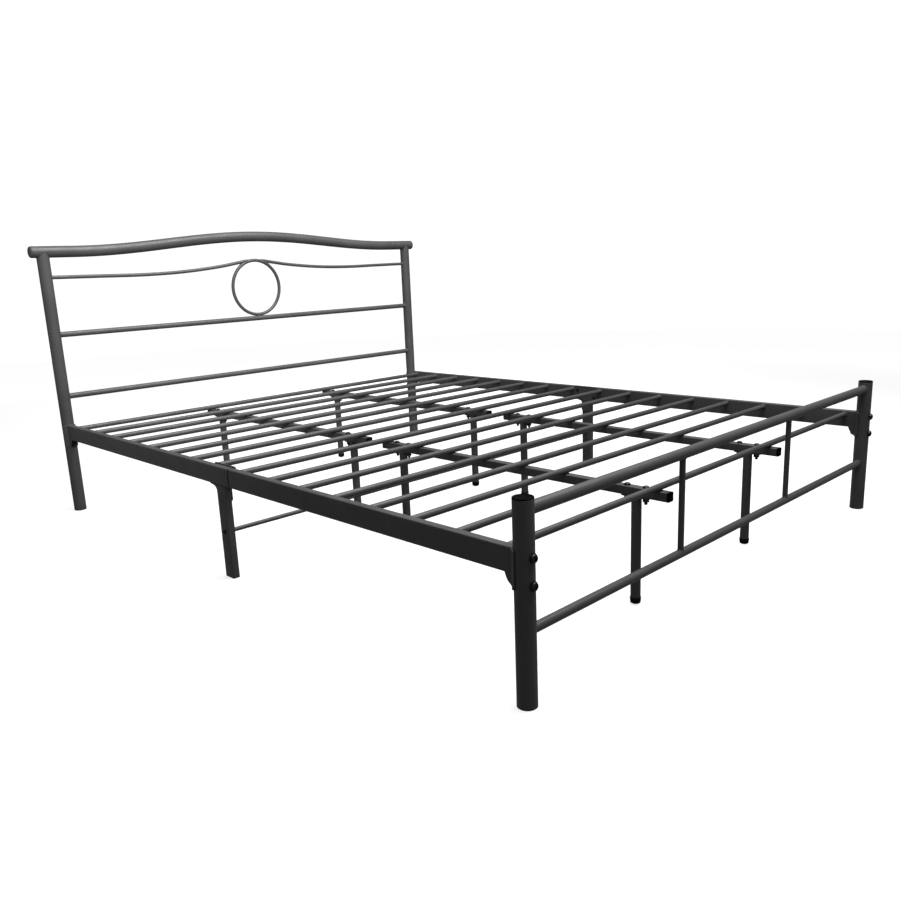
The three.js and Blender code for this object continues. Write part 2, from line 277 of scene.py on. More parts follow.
def rounded_rect(half_u, half_v, radius, count=6):
    points = []
    for quarter, (su, sv) in enumerate(((1, 1), (-1, 1), (-1, -1), (1, -1))):
        for i in range(count + 1):
            angle = math.pi / 2 * (quarter + i / count)
            points.append((
                su * (half_u - radius) + radius * math.cos(angle),
                sv * (half_v - radius) + radius * math.sin(angle),
            ))
    return points


def mix(first, second, share):
    return [tuple(a + (b - a) * share for a, b in zip(p, q)) for p, q in zip(first, second)]


def square_end(u, v):
    return 0.0


def saddle(radius, along):
    """How far an end is cut back to sit on a cylinder that runs along "u" or "v"."""
    def depth(u, v):
        across = v if along == "u" else u
        return math.sqrt(max(radius * radius - across * across, 0.0))
    return depth


def placed(axis, centre, at, profile, cope=square_end, sign=1):
    """A profile's points at one station of a straight bar, its end shaped by cope."""
    iu, iv, iw = AXES[axis]
    points = []
    for u, v in profile:
        point = [0.0, 0.0, 0.0]
        point[iu], point[iv] = centre[0] + u, centre[1] + v
        point[iw] = at + sign * cope(u, v)
        points.append(tuple(point))
    return points


def straight_tube(piece, axis, centre, start, end, outer, inner, copes=(square_end, square_end)):
    """A straight tube with eased rims. copes shape its first and its last end."""
    lip = 0.35 * MM
    soft = mix(outer, inner, 0.25)
    first, last = copes
    rows = [
        placed(axis, centre, start, soft, first),
        placed(axis, centre, start + lip, outer, first),
        placed(axis, centre, end - lip, outer, last, -1),
        placed(axis, centre, end, soft, last, -1),
        placed(axis, centre, end, inner, last, -1),
        placed(axis, centre, start, inner, first),
    ]
    piece.loft(rows, slots=(0, 0, 0, 0, BORE_SLOT, 0), loop=True)


def bead(piece, path, outwards, along, radius, seed):
    """A closed weld bead along path. outwards and along span its round section."""
    wobble = 0.12
    draw = random.Random(seed)
    waves = [(draw.randint(9, 19), draw.uniform(0, 6.28)) for _ in range(3)]
    count, rows = len(path), []
    for i, (point, out, way) in enumerate(zip(path, outwards, along)):
        turn = 2 * math.pi * i / count
        swell = 1 + wobble * sum(math.sin(k * turn + p) for k, p in waves) / 3
        rows.append([
            Vector(point) + radius * swell * (math.cos(a) * Vector(out) + math.sin(a) * Vector(way))
            for a in (2 * math.pi * j / BEAD_SIDES for j in range(BEAD_SIDES))
        ])
    piece.loft(rows, loop=True)


def end_bead(piece, axis, centre, at, profile, cope, sign, radius, seed):
    """The weld bead round the end of a straight bar."""
    iu, iv, iw = AXES[axis]
    path = placed(axis, centre, at, profile, cope, sign)
    out, way = [], []
    count = len(profile)
    for i in range(count):
        du = profile[(i + 1) % count][0] - profile[i - 1][0]
        dv = profile[(i + 1) % count][1] - profile[i - 1][1]
        length = math.hypot(du, dv) or 1
        normal = [0.0, 0.0, 0.0]
        normal[iu], normal[iv] = dv / length, -du / length
        out.append(tuple(normal))
        axial = [0.0, 0.0, 0.0]
        axial[iw] = 1.0
        way.append(tuple(axial))
    bead(piece, path, out, way, radius, seed)


def turned(piece, outline, matrix, count, hollow=False):
    """Turns an outline of (radius, height) about matrix's Z axis. hollow joins its two ends."""
    rows, tips = [], {}
    for index, (radius, height) in enumerate(outline):
        if radius < 1e-7:
            tips[index] = piece.row([matrix @ Vector((0, 0, height))])[0]
            rows.append(None)
        else:
            rows.append(piece.row(matrix @ Vector((u, v, height)) for u, v in circle(radius, count)))
    pairs = [(i, i + 1) for i in range(len(outline) - 1)]
    if hollow:
        pairs.append((len(outline) - 1, 0))
    for a, b in pairs:
        if rows[a] is not None and rows[b] is not None:
            piece.skin(rows[a], rows[b])
        elif rows[a] is not None or rows[b] is not None:
            ring, tip = (rows[a], tips[b]) if rows[a] is not None else (rows[b], tips[a])
            for i in range(count):
                piece.face((ring[i], ring[(i + 1) % count], tip))


def swept(piece, path, radius, count, inner=0.0, start_cut=None, taper=(0, 1)):
    """A round bar along a path in a plane y = constant. start_cut maps a point to its cut.
    taper is how many of its last stations thin out, and to what share of the radius."""
    rows, wall = [], []
    stations, share = taper
    for i, point in enumerate(path):
        left = len(path) - 1 - i
        size = 1 - (1 - share) * (1 - left / stations) if left < stations else 1
        before, after = path[max(i - 1, 0)], path[min(i + 1, len(path) - 1)]
        way = (Vector(after) - Vector(before)).normalized()
        side = Vector((0, 1, 0))
        up = way.cross(side)
        cut = start_cut if i == 0 else None
        for r, store in ((radius, rows), (inner, wall)):
            ring = [Vector(point) + u * side + v * up for u, v in circle(r * size, count)]
            store.append([cut(p) for p in ring] if cut else ring)
    if inner:
        slots = [0] * len(rows) + [BORE_SLOT] * (len(wall) - 1) + [0]
        piece.loft(rows + wall[::-1], slots=slots, loop=True)
    else:
        piece.loft(rows)


def plate(piece, axis, low, high, outline):
    """A flat plate: outline lies in the (u, v) plane of axis, and its edges are eased."""
    ease = 0.4 * MM
    count, small = len(outline), []
    area = sum(a[0] * b[1] - b[0] * a[1] for a, b in zip(outline, outline[1:] + outline[:1]))
    turn = 1 if area > 0 else -1
    for i, (u, v) in enumerate(outline):
        (pu, pv), (nu, nv) = outline[i - 1], outline[(i + 1) % count]
        du, dv = nu - pu, nv - pv
        length = math.hypot(du, dv) or 1
        small.append((u - turn * ease * dv / length, v + turn * ease * du / length))
    rows = [
        placed(axis, (0, 0), low, small),
        placed(axis, (0, 0), low + ease, outline),
        placed(axis, (0, 0), high - ease, outline),
        placed(axis, (0, 0), high, small),
    ]
    piece.loft(rows)


# ---------------------------------------------------------------- sizes
def span(node):
    low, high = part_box(node)
    return low, high, (low + high) / 2


post_low, post_high, _ = span("foot_post_left")
posts = {(end, side): span(f"{end}_post_{side}")[2] for end in ENDS for side in SIDES}
POST_R = (post_high.x - post_low.x) / 2
TUBE_WALL = 1.5 * MM
BAR_WALL = 1.2 * MM
PLATE_THICK = 3 * MM
TOUCH = 0.3 * MM  # play between two pieces that touch
GLIDE = 3 * MM  # the flange of a plug under a post

# headboard
rail_low, rail_high, rail_mid = span("head_top_rail")
TOP_RAIL_R = 19 * MM
TOP_RAIL_Z = rail_low.z + TOP_RAIL_R
TOP_RAIL_CAP = 7 * MM
HUMP_RISE = rail_high.z - rail_low.z - 2 * TOP_RAIL_R
HUMP_HALF = 0.700
HEAD_BAR_R = 9.5 * MM
ROD_R = 6.25 * MM
RING_R = 105.5 * MM
CURVED_BAR = (  # (x, z) from the post to the top of the ring
    (0.790, 0.803), (0.620, 0.8015), (0.480, 0.800), (0.360, 0.8025), (0.260, 0.8085),
    (0.155, 0.819), (0.090, 0.8285), (0.045, 0.8355), (0.020, 0.8380),
)

# side rails and what fixes them
RAIL_HALF_W = 10 * MM
RAIL_HALF_H = 25 * MM
RAIL_ROUND = 2.6 * MM
BORE_ROUND = 1.2 * MM
CUP_IN = POST_R + TOUCH
CUP_OUT = CUP_IN + PLATE_THICK
CUP_WRAP = 1.3  # radians each side of the rail's line
EAR_REACH = 39 * MM
SEAM_TRIM = 2 * MM  # each half of a rail stops this short of the CAD's half
SLEEVE_REACH = 60 * MM
BOLT_Z = {"lower": 0.240, "upper": 0.292}
BOLT_R = 4 * MM
BOLT_HEAD_R = 8.8 * MM
BOLT_NUT_R = 7.5 * MM  # to its corners
NUT_PLATE = (23.6 * MM, 27.6 * MM)  # its two faces, from the post's axis
NUT_PLATE_HALF_W = 7 * MM
NUT_PLATE_HALF_H = 35 * MM

# supports and legs at mid-length
LEG_R = 12 * MM
FOOT_R = 13.1 * MM
FOOT_FLAT_R = 5.5 * MM
FOOT_DOME = 11.5 * MM
FOOT_FLOOR = 3.1 * MM
PLUG_FLANGE = 4.5 * MM
SUPPORT_BOLT_SHIFT = 25 * MM
MID_LEG_HALF = 20 * MM
SPLICE_HALF = 52 * MM
SPLICE_LOW = 211 * MM  # the splice's lower end, from the foot of its node
SPLICE_DROP = 53.3 * MM  # from the splice's top down to the leg's
SPLICE_SCREWS = [(y * MM, z * MM) for y in (-38, 38) for z in (293, 269)]


def catmull(points, steps):
    """A smooth line through points of (x, z)."""
    first = tuple(2 * a - b for a, b in zip(points[0], points[1]))
    last = tuple(2 * a - b for a, b in zip(points[-1], points[-2]))
    knots = [first, *points, last]
    line = []
    for i in range(1, len(knots) - 2):
        p0, p1, p2, p3 = knots[i - 1:i + 3]
        for j in range(steps):
            t = j / steps
            line.append(tuple(
                0.5 * (2 * b + (c - a) * t + (2 * a - 5 * b + 4 * c - d) * t * t
                       + (3 * b - a - 3 * c + d) * t ** 3)
                for a, b, c, d in zip(p0, p1, p2, p3)
            ))
    line.append(points[-1])
    return line


def run_bead(piece, path, radius, seed):
    """An open weld bead along path, thin at both ends."""
    draw = random.Random(seed)
    rows = []
    for i, point in enumerate(path):
        before, after = Vector(path[max(i - 1, 0)]), Vector(path[min(i + 1, len(path) - 1)])
        way = (after - before).normalized()
        side = way.orthogonal().normalized()
        up = way.cross(side)
        share = i / (len(path) - 1)
        size = radius * (0.35 + 0.65 * math.sin(math.pi * share) ** 0.5) * draw.uniform(0.93, 1.07)
        rows.append([Vector(point) + u * side + v * up for u, v in circle(size, BEAD_SIDES)])
    piece.loft(rows)


def glide(name, centre, outer, inner):
    """A plastic plug in the floor end of a tube: a flange with an eased edge, and a stub."""
    piece = Piece(PLASTIC)
    stations = (  # height, and how far the profile goes from outer to inner
        (0.0, 0.9), (0.9 * MM, 0.12), (1.6 * MM, 0.0), (GLIDE - 0.5 * MM, 0.0),
        (GLIDE - 0.1 * MM, 0.2), (GLIDE - 0.1 * MM, 1.05), (18 * MM, 1.05), (19 * MM, 1.6),
    )
    piece.loft([placed("Z", centre, z, mix(outer, inner, share)) for z, share in stations])
    piece.finish(name)


# ---------------------------------------------------------------- headboard
def post_tube(end, side, top, cope, seed):
    """A post from its glide up to top, with a weld bead where its end is coped."""
    at = posts[end, side]
    piece = Piece(COAT, BORE)
    outer, inner = circle(POST_R, 56), circle(POST_R - TUBE_WALL, 56)
    straight_tube(piece, "Z", (at.x, at.y), GLIDE, top, outer, inner, (square_end, cope))
    if cope is not square_end:
        end_bead(piece, "Z", (at.x, at.y), top, outer, cope, -1, 1.7 * MM, seed)
    piece.finish(f"{end}_post_{side}_tube", replaces=[f"{end}_post_{side}"])
    glide(f"{end}_post_{side}_glide", (at.x, at.y), outer, inner)


def bar_across(piece, y, z, radius, seed, bead_radius=1.5 * MM, count=36):
    """A straight round bar between the two posts of one end, with a weld at each."""
    left, right = posts["foot", "left"].x, posts["foot", "right"].x
    cope = saddle(POST_R, "v")
    outer, inner = circle(radius, count), circle(radius - BAR_WALL, count)
    straight_tube(piece, "X", (y, z), left, right, outer, inner, (cope, cope))
    for at, sign in ((left, 1), (right, -1)):
        end_bead(piece, "X", (y, z), at, outer, cope, sign, bead_radius, seed + sign)


def hump(x):
    """The height of the arched top rail's axis at x."""
    wave = (1 + math.cos(math.pi * x / HUMP_HALF)) / 2 if abs(x) < HUMP_HALF else 0.0
    return TOP_RAIL_Z + HUMP_RISE * wave


def build_top_rail(y):
    half, steps = rail_high.x - TOP_RAIL_CAP, 150
    path = [(x, y, hump(x)) for x in (half * (2 * i / steps - 1) for i in range(steps + 1))]
    piece = Piece(COAT, BORE)
    swept(piece, path, TOP_RAIL_R, count=56, inner=TOP_RAIL_R - TUBE_WALL)
    piece.finish("head_top_rail_tube", replaces=["head_top_rail"])
    r, cap = TOP_RAIL_R, TOP_RAIL_CAP
    outline = [  # a domed end, then the stub inside the tube
        (0, cap), (r * 0.5, cap - 0.25 * MM), (r - 6.0 * MM, cap - 0.8 * MM),
        (r - 4.0 * MM, cap - 1.4 * MM), (r - 2.4 * MM, cap - 2.3 * MM),
        (r - 1.1 * MM, cap - 3.5 * MM), (r - 0.3 * MM, cap - 5.0 * MM), (r, cap - 6.6 * MM),
        (r, 0.3 * MM), (r - 0.2 * MM, 0.1 * MM), (r - 2.0 * MM, 0.1 * MM),
        (r - 2.2 * MM, -14 * MM), (r - 4 * MM, -15 * MM), (0, -15 * MM),
    ]
    for side, sign in SIDES.items():
        piece = Piece(COAT)
        place = Matrix.Translation((sign * half, y, TOP_RAIL_Z))
        turned(piece, outline, place @ Matrix.Rotation(sign * math.pi / 2, 4, "Y"), count=56)
        piece.finish(f"head_top_rail_cap_{side}", sharp=50)


def build_ring(y, ring_z, foot):
    """The ring, with a weld in front and behind where it stands on the middle bar at foot."""
    piece = Piece(COAT)
    rows, steps = [], 144
    for i in range(steps):
        turn = 2 * math.pi * i / steps
        out = Vector((math.cos(turn), 0, math.sin(turn)))
        centre = Vector((0, y, ring_z)) + RING_R * out
        rows.append([centre + u * out + v * Vector((0, 1, 0)) for u, v in circle(ROD_R, 24)])
    piece.loft(rows, loop=True)
    for face in (-1, 1):
        path = [(x * MM, y + face * (3.6 - 0.010 * x * x) * MM, foot + (0.2 + 0.006 * x * x) * MM)
                for x in range(-15, 16, 2)]
        run_bead(piece, path, 1.9 * MM, 60 + face)
    piece.finish("head_ring_rod", replaces=["head_ring_panel"])


def build_curved_bar(side, sign, y, ring_z):
    """A thin bar from the post to the ring's shoulder, with its welds at both."""
    post_x = posts["head", side].x

    def to_post(point):
        across = point.y - y
        x = sign * (abs(post_x) - math.sqrt(POST_R ** 2 - across ** 2))
        return Vector((x, point.y, point.z))

    line = [(sign * x, y, z) for x, z in catmull(CURVED_BAR, 12)]
    piece = Piece(COAT)
    swept(piece, line, ROD_R, count=24, start_cut=to_post, taper=(9, 0.72))
    end_bead(piece, "X", (y, line[0][2]), post_x, circle(ROD_R, 24), saddle(POST_R, "v"), -sign,
             1.1 * MM, 70 + sign)
    reach = RING_R + 4.6 * MM
    for face in (-1, 1):
        path = []
        for i in range(12):
            turn = math.acos((0.070 - 0.0026 * i) / RING_R)
            path.append((sign * reach * math.cos(turn), y + face * 3.0 * MM,
                         ring_z + reach * math.sin(turn)))
        run_bead(piece, path, 1.5 * MM, 80 + face + sign)
    piece.finish(f"head_curved_bar_{side}_rod", replaces=["head_ring_panel"])


def build_headboard():
    y = rail_mid.y
    for i, side in enumerate(SIDES):
        post_tube("head", side, TOP_RAIL_Z, saddle(TOP_RAIL_R, "u"), 40 + i)
    build_top_rail(y)

    piece = Piece(COAT, BORE)
    bar_across(piece, y, span("head_lower_bar")[2].z, HEAD_BAR_R, 11)
    piece.finish("head_lower_bar_tube", replaces=["head_lower_bar"])

    middle_z = span("head_ring_panel")[0].z + HEAD_BAR_R
    piece = Piece(COAT, BORE)
    bar_across(piece, y, middle_z, HEAD_BAR_R, 12)
    piece.finish("head_middle_bar_tube", replaces=["head_ring_panel"])

    ring_z = middle_z + HEAD_BAR_R + ROD_R + RING_R - 1 * MM
    build_ring(y, ring_z, middle_z + HEAD_BAR_R)
    for side, sign in SIDES.items():
        build_curved_bar(side, sign, y, ring_z)


# ---------------------------------------------------------------- footboard
def build_footboard():
    y = posts["foot", "left"].y
    for i, side in enumerate(SIDES):
        _, high, at = span(f"foot_post_{side}")
        post_tube("foot", side, high.z, square_end, 50 + i)
        plug_low, plug_high, _ = span(f"foot_post_plug_{side}")
        r, top = POST_R, plug_high.z
        piece = Piece(PLASTIC)
        turned(piece, [
            (0, top - 2.4 * MM), (r - 5.6 * MM, top - 2.4 * MM), (r - 4.4 * MM, top - 2.0 * MM),
            (r - 3.2 * MM, top - 0.4 * MM), (r - 2.6 * MM, top), (r - 1.4 * MM, top),
            (r - 0.5 * MM, top - 0.35 * MM), (r, top - 1.2 * MM), (r, top - 2.4 * MM),
            (r - 0.3 * MM, top - 2.7 * MM), (r - 1.9 * MM, top - 2.7 * MM),
            (r - 1.9 * MM, plug_low.z + 2 * MM), (r - 3 * MM, plug_low.z), (0, plug_low.z),
        ], Matrix.Translation((at.x, at.y, 0)), count=56)
        piece.finish(f"foot_post_plug_{side}_cap", sharp=50,
                     replaces=[f"foot_post_plug_{side}"])
    rails = {}
    for i, level in enumerate(("top", "lower")):
        low, high, mid = span(f"foot_{level}_rail")
        radius = (high.z - low.z) / 2
        rails[level] = (radius, mid.z)
        piece = Piece(COAT, BORE)
        bar_across(piece, y, mid.z, radius, 20 + 4 * i, bead_radius=1.7 * MM, count=40)
        piece.finish(f"foot_{level}_rail_tube", replaces=[f"foot_{level}_rail"])
    for i, side in enumerate(SIDES):
        low, high, mid = span(f"foot_spindle_{side}")
        radius = (high.x - low.x) / 2
        outer, inner = circle(radius, 32), circle(radius - BAR_WALL, 32)
        piece = Piece(COAT, BORE)
        (top_r, top_z), (low_r, low_z) = rails["top"], rails["lower"]
        copes = (saddle(low_r, "u"), saddle(top_r, "u"))
        straight_tube(piece, "Z", (mid.x, y), low_z, top_z, outer, inner, copes)
        end_bead(piece, "Z", (mid.x, y), low_z, outer, copes[0], 1, 1.4 * MM, 30 + i)
        end_bead(piece, "Z", (mid.x, y), top_z, outer, copes[1], -1, 1.4 * MM, 34 + i)
        piece.finish(f"foot_spindle_{side}_tube", replaces=[f"foot_spindle_{side}"])


# ---------------------------------------------------------------- side rails
def bent_plate(piece, x, y, way, low, high):
    """The cup of a side rail: a plate bent round the post, its corners rounded.
    way is +1 where the rail leaves towards +Y."""
    corner, ease, steps = 9 * MM, 0.5 * MM, 40
    rows = []
    arc = CUP_OUT * CUP_WRAP
    for i in range(steps + 1):
        s = -1 + 2 * i / steps
        s = math.copysign(1 - (1 - abs(s)) ** 1.5, s)
        angle = CUP_WRAP * s
        edge = arc * (1 - abs(s))
        inset = max(corner - edge, 0)
        bite = corner - math.sqrt(max(corner ** 2 - inset ** 2, 0))
        z0, z1 = low + bite, high - bite * 0.35
        section = [
            (CUP_IN, z0 + ease), (CUP_IN + ease, z0), (CUP_OUT - ease, z0), (CUP_OUT, z0 + ease),
            (CUP_OUT, z1 - ease), (CUP_OUT - ease, z1), (CUP_IN + ease, z1), (CUP_IN, z1 - ease),
        ]
        rows.append([
            (x + r * math.sin(angle), y + way * r * math.cos(angle), z) for r, z in section
        ])
    piece.loft(rows)


def bend(start, middle, end, steps):
    """Points along a quadratic curve, without its start."""
    points = []
    for i in range(1, steps + 1):
        t = i / steps
        a, b, c = (1 - t) ** 2, 2 * t * (1 - t), t * t
        points.append(tuple(a * p + b * q + c * r for p, q, r in zip(start, middle, end)))
    return points


def gusset(y, way, low, top):
    """One ear under the rail: level above, a concave curve down to the foot of the cup."""
    start, foot = POST_R + 1.2 * MM, low + 5 * MM
    points = [(start, top + 3 * MM), (EAR_REACH, top + 3 * MM), (EAR_REACH, top)]
    middle = (EAR_REACH - 6 * MM, top - 19 * MM)
    points += bend(points[-1], middle, (start + 1.6 * MM, foot), 18)
    points.append((start, foot))
    return [(y + way * u, v) for u, v in points]


def rail_section(inset, corner):
    return rounded_rect(RAIL_HALF_W - inset, RAIL_HALF_H - inset, corner)


def build_side_rails():
    outer, inner = rail_section(0, RAIL_ROUND), rail_section(TUBE_WALL, BORE_ROUND)
    cope = saddle(CUP_OUT - 0.4 * MM, "v")
    for side in SIDES:
        seam = []
        for end, way in ENDS.items():
            node = f"side_rail_{side}_{end}"
            low, high, _ = span(node)
            at = posts[end, side]
            z = high.z - RAIL_HALF_H
            cut = (high.y if end == "foot" else low.y) + way * SEAM_TRIM
            seam.append(cut)
            piece = Piece(COAT, BORE)
            if end == "foot":
                straight_tube(piece, "Y", (at.x, z), at.y, cut, outer, inner, (cope, square_end))
            else:
                straight_tube(piece, "Y", (at.x, z), cut, at.y, outer, inner, (square_end, cope))
            end_bead(piece, "Y", (at.x, z), at.y, outer, saddle(CUP_OUT, "v"), -way,
                     1.3 * MM, 90 + way)
            bent_plate(piece, at.x, at.y, -way, low.z, high.z)
            ear = gusset(at.y, -way, low.z, high.z - 2 * RAIL_HALF_H)
            inside = RAIL_HALF_W - 2 * MM
            plate(piece, "X", at.x - RAIL_HALF_W, at.x - inside, ear)
            plate(piece, "X", at.x + inside, at.x + RAIL_HALF_W, ear)
            piece.finish(f"{node}_tube", replaces=[node])
        near, far = seam
        piece = Piece(BORE, BORE)
        straight_tube(piece, "Y", (posts["foot", side].x, z), near - SLEEVE_REACH,
                      far + SLEEVE_REACH, rail_section(2.4 * MM, BORE_ROUND),
                      rail_section(3.9 * MM, 0.8 * MM))
        piece.finish(f"side_rail_{side}_sleeve")


# ---------------------------------------------------------------- fasteners
def hexagon(radius):
    return circle(radius, 6)


def button_head(piece, face, radius, height):
    """A low dome on a thin washer, from z = 0 up, with a six-sided socket."""
    washer = 1.5 * MM
    turned(piece, [
        (radius * 0.4, 0), (radius + 1.1 * MM, 0), (radius + 1.35 * MM, 0.3 * MM),
        (radius + 1.35 * MM, washer - 0.3 * MM), (radius + 1.1 * MM, washer), (radius * 0.4, washer),
    ], face, count=40, hollow=True)
    socket_r, socket_depth = radius * 0.42, 2.6 * MM
    crown_r, rise = socket_r * 1.25, washer + 0.5 * MM
    dome = [(radius - 0.35 * MM, washer + 0.02 * MM), (radius, rise)]
    for i in range(1, 8):
        turn = math.pi / 2 * i / 8
        dome.append((
            crown_r + (radius - crown_r) * math.cos(turn),
            rise + (height - rise) * math.sin(turn),
        ))
    dome.append((socket_r * 1.22, height))
    rows = [[face @ Vector((u, v, h)) for u, v in circle(r, 36)] for r, h in dome]
    made = [piece.row(r) for r in rows]
    for a, b in zip(made, made[1:]):
        piece.skin(a, b)
    piece.face(made[0])

    def hex_row(corner_r, depth):
        corners = hexagon(corner_r)
        points = []
        for i in range(36):
            side, share = divmod(i, 6)
            a, b = corners[side], corners[(side + 1) % 6]
            u = a[0] + (b[0] - a[0]) * share / 6
            v = a[1] + (b[1] - a[1]) * share / 6
            points.append(face @ Vector((u, v, depth)))
        return piece.row(points)

    rim = hex_row(socket_r, height)
    base = hex_row(socket_r, height - socket_depth)
    piece.skin(made[-1], rim)
    piece.skin(rim, base)
    piece.face(base)


def hex_nut(piece, face, radius, height, bore):
    """A chamfered six-sided nut from z = 0 up. radius is to its corners."""
    chamfer, flat = 0.7 * MM, radius * 0.93
    outline = (
        (flat, 0), (radius, chamfer), (radius, height - chamfer), (flat, height),
        (bore, height), (bore, 0),
    )
    rows = [[face @ Vector((u, v, h)) for u, v in hexagon(r)] for r, h in outline]
    piece.loft(rows, loop=True)


def threaded(piece, face, radius, start, end, pitch=1.25 * MM):
    """A shank with turned thread ridges from start to end, and a chamfered tip."""
    outline = [(0, start), (radius - 0.3 * MM, start)]
    turns = int((end - start - 1.2 * MM) / pitch)
    for i in range(turns):
        h = start + i * pitch
        outline += [(radius - 0.55 * MM, h + 0.1 * MM), (radius, h + pitch * 0.5)]
    outline += [(radius - 0.5 * MM, end - 0.9 * MM), (radius - 1.3 * MM, end), (0, end)]
    turned(piece, outline, face, count=28)


def facing(x, y, z, way):
    """A frame whose Z axis points along way."""
    return Matrix.Translation((x, y, z)) @ Vector(way).to_track_quat("Z", "Y").to_matrix().to_4x4()


def build_post_bolts():
    for (end, side), at in posts.items():
        way = ENDS[end]
        node = f"post_bolts_{end}_{side}"
        low, high, mid = span(node)
        head = abs(high.y if end == "head" else low.y) - abs(at.y) - POST_R
        for level, z in BOLT_Z.items():
            piece = Piece(ZINC)
            button_head(piece, facing(at.x, at.y + way * (POST_R + 0.2 * MM), z, (0, way, 0)),
                        BOLT_HEAD_R, head - 0.6 * MM)
            shank = facing(at.x, at.y + way * (POST_R + 0.5 * MM), z, (0, -way, 0))
            threaded(piece, shank, BOLT_R, 0.0, POST_R + 34 * MM)
            nut = facing(at.x, at.y - way * (NUT_PLATE[1] + TOUCH), z, (0, -way, 0))
            hex_nut(piece, nut, BOLT_NUT_R, 4.6 * MM, BOLT_R + 0.1 * MM)
            piece.finish(f"post_bolt_{end}_{side}_{level}", sharp=30,
                         replaces=[node])
        piece = Piece(ZINC)
        inner, outer = (at.y - way * face for face in NUT_PLATE)
        outline = rounded_rect(NUT_PLATE_HALF_W, NUT_PLATE_HALF_H, 2.5 * MM)
        plate(piece, "Y", min(inner, outer), max(inner, outer),
              [(at.x + u, mid.z + v) for u, v in outline])
        piece.finish(f"post_nut_plate_{end}_{side}", replaces=[node])


# ---------------------------------------------------------------- slats
def build_slats():
    for index in range(1, 17):
        node = f"slat_{index:02d}"
        low, high, mid = span(node)
        radius = (high.z - low.z) / 2
        outer, inner = circle(radius, 32), circle(radius - BAR_WALL, 32)
        piece = Piece(COAT, BORE)
        straight_tube(piece, "X", (mid.y, mid.z), low.x, high.x, outer, inner)
        for at, sign in ((low.x, 1), (high.x, -1)):
            end_bead(piece, "X", (mid.y, mid.z), at + sign * 0.5 * MM, outer, square_end, sign,
                     1.3 * MM, 200 + index * 2 + sign)
        piece.finish(f"{node}_tube", replaces=[node])


# ---------------------------------------------------------------- support rails and legs
def square_plug(name, end_y, x, z, way, half):
    """A moulded plug in the end of a square tube: a flange with round corners, and a stub."""
    piece = Piece(PLASTIC)
    flange = rounded_rect(half + 0.3 * MM, half + 0.3 * MM, 3.0 * MM)
    stub = rounded_rect(half - 1.7 * MM, half - 1.7 * MM, 1.0 * MM)
    face = PLUG_FLANGE
    steps = (  # depth from the tube's end, profile, and how far it shrinks
        (-14 * MM, stub, 0.0), (0.05 * MM, stub, 0.0), (0.05 * MM, flange, 0.05),
        (0.5 * MM, flange, 0.0), (face - 1.3 * MM, flange, 0.0), (face - 0.4 * MM, flange, 0.05),
        (face, flange, 0.13),
    )
    rows = []
    for depth, profile, shrink in steps:
        points = [(u * (1 - shrink), v * (1 - shrink)) for u, v in profile]
        rows.append(placed("Y", (x, z), end_y + way * (depth - face), points))
    piece.loft(rows)
    piece.finish(name, sharp=45)


def support_bolt(name, x, y, top, plate_low):
    piece = Piece(ZINC)
    down = (0, 0, -1)
    button_head(piece, facing(x, y, top + 0.1 * MM, (0, 0, 1)), 7.0 * MM, 5.0 * MM)
    threaded(piece, facing(x, y, top + 0.4 * MM, down), BOLT_R, 0.0, top - plate_low + 15 * MM)
    hex_nut(piece, facing(x, y, plate_low - 0.1 * MM, down), BOLT_NUT_R, 8.0 * MM,
            BOLT_R + 0.1 * MM)
    piece.finish(name, sharp=30)


def build_support_leg(place, rail_top, seed):
    """A round leg welded under its bolt plate, its two bolts and its rubber foot."""
    name = f"support_leg_{place}"
    leg_low, leg_high, leg = span(name)
    plate_low = leg_high.z - 2.5 * MM
    piece = Piece(COAT, BORE)
    outline = rounded_rect(10 * MM, (leg_high.y - leg_low.y) / 2, 6 * MM)
    plate(piece, "Z", plate_low, leg_high.z, [(leg.x + u, leg.y + v) for u, v in outline])
    ring, bore = circle(LEG_R, 40), circle(LEG_R - TUBE_WALL, 40)
    straight_tube(piece, "Z", (leg.x, leg.y), leg_low.z, plate_low, ring, bore)
    end_bead(piece, "Z", (leg.x, leg.y), plate_low - 0.3 * MM, ring, square_end, -1, 1.5 * MM, seed)
    piece.finish(f"{name}_tube", replaces=[name])
    for spot, sign in (("near", -1), ("far", 1)):
        support_bolt(f"support_bolt_{place}_{spot}", leg.x, leg.y + sign * SUPPORT_BOLT_SHIFT,
                     rail_top, plate_low)
    foot = f"support_foot_{place}"
    top = span(foot)[1].z
    bore_r = LEG_R + 0.1 * MM
    dome = [(FOOT_FLAT_R + (FOOT_R - FOOT_FLAT_R) * math.sin(turn), FOOT_DOME * (1 - math.cos(turn)))
            for turn in (math.pi / 2 * i / 10 for i in range(11))]
    piece = Piece(RUBBER)
    turned(piece, [
        (0, 0), *dome, (FOOT_R, top - 0.6 * MM), (FOOT_R - 0.6 * MM, top),
        (bore_r, top), (bore_r, FOOT_FLOOR), (0, FOOT_FLOOR),
    ], Matrix.Translation((leg.x, leg.y, 0)), count=44)
    piece.finish(f"{foot}_cap", sharp=50, replaces=[foot])


